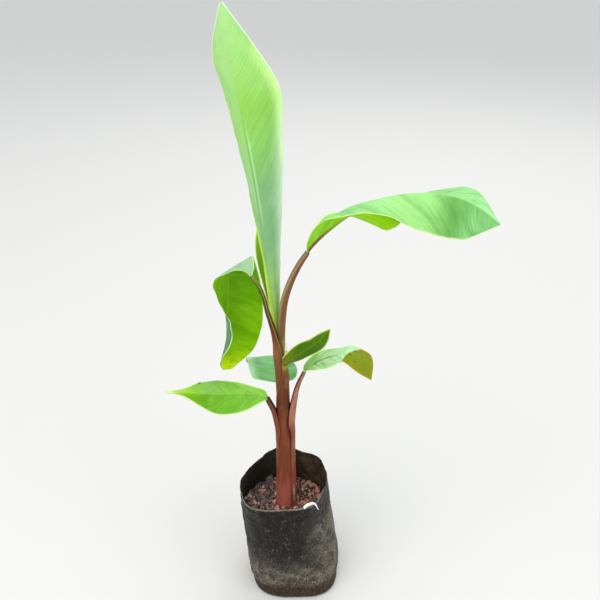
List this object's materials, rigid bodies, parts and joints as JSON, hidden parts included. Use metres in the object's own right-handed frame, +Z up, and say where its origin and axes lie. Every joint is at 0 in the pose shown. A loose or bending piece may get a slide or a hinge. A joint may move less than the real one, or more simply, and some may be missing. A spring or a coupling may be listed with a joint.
{
  "type": "young banana plant in a nursery bag",
  "caption": "Young banana plant with a red-brown pseudostem, broad arching leaves and a new leaf still rolled at its foot, growing in a soft black nursery bag of soil.",
  "frame": {"origin": "centre of the bag's flat underside, where the plant stands", "axes": "+Z up along the stem; +X to the side that the large arching leaf points to, the right in the picture; -Y towards the picture's viewer"},
  "size_m": [0.3704, 0.1684, 0.7254],
  "materials": {
    "bag_film": "satin",
    "soil": "matte",
    "stem": "satin",
    "petiole": "satin",
    "leaf": "satin",
    "new_leaf": "satin"
  },
  "bodies": {
    "root": {"nursery_bag": "bag_film", "potting_soil": "soil", "pseudostem": "stem", "petiole_low_left": "petiole", "petiole_right": "petiole", "petiole_back": "petiole", "petiole_small_front": "petiole", "petiole_left_hanging": "petiole", "petiole_right_arching": "petiole", "blade_low_left": "leaf", "blade_right_bent": "leaf", "blade_back": "leaf", "blade_small_front": "leaf", "blade_left_hanging": "leaf", "blade_right_arching": "leaf", "rolled_foot_new_leaf": "new_leaf", "blade_new_leaf": "new_leaf"}
  },
  "joints": []
}
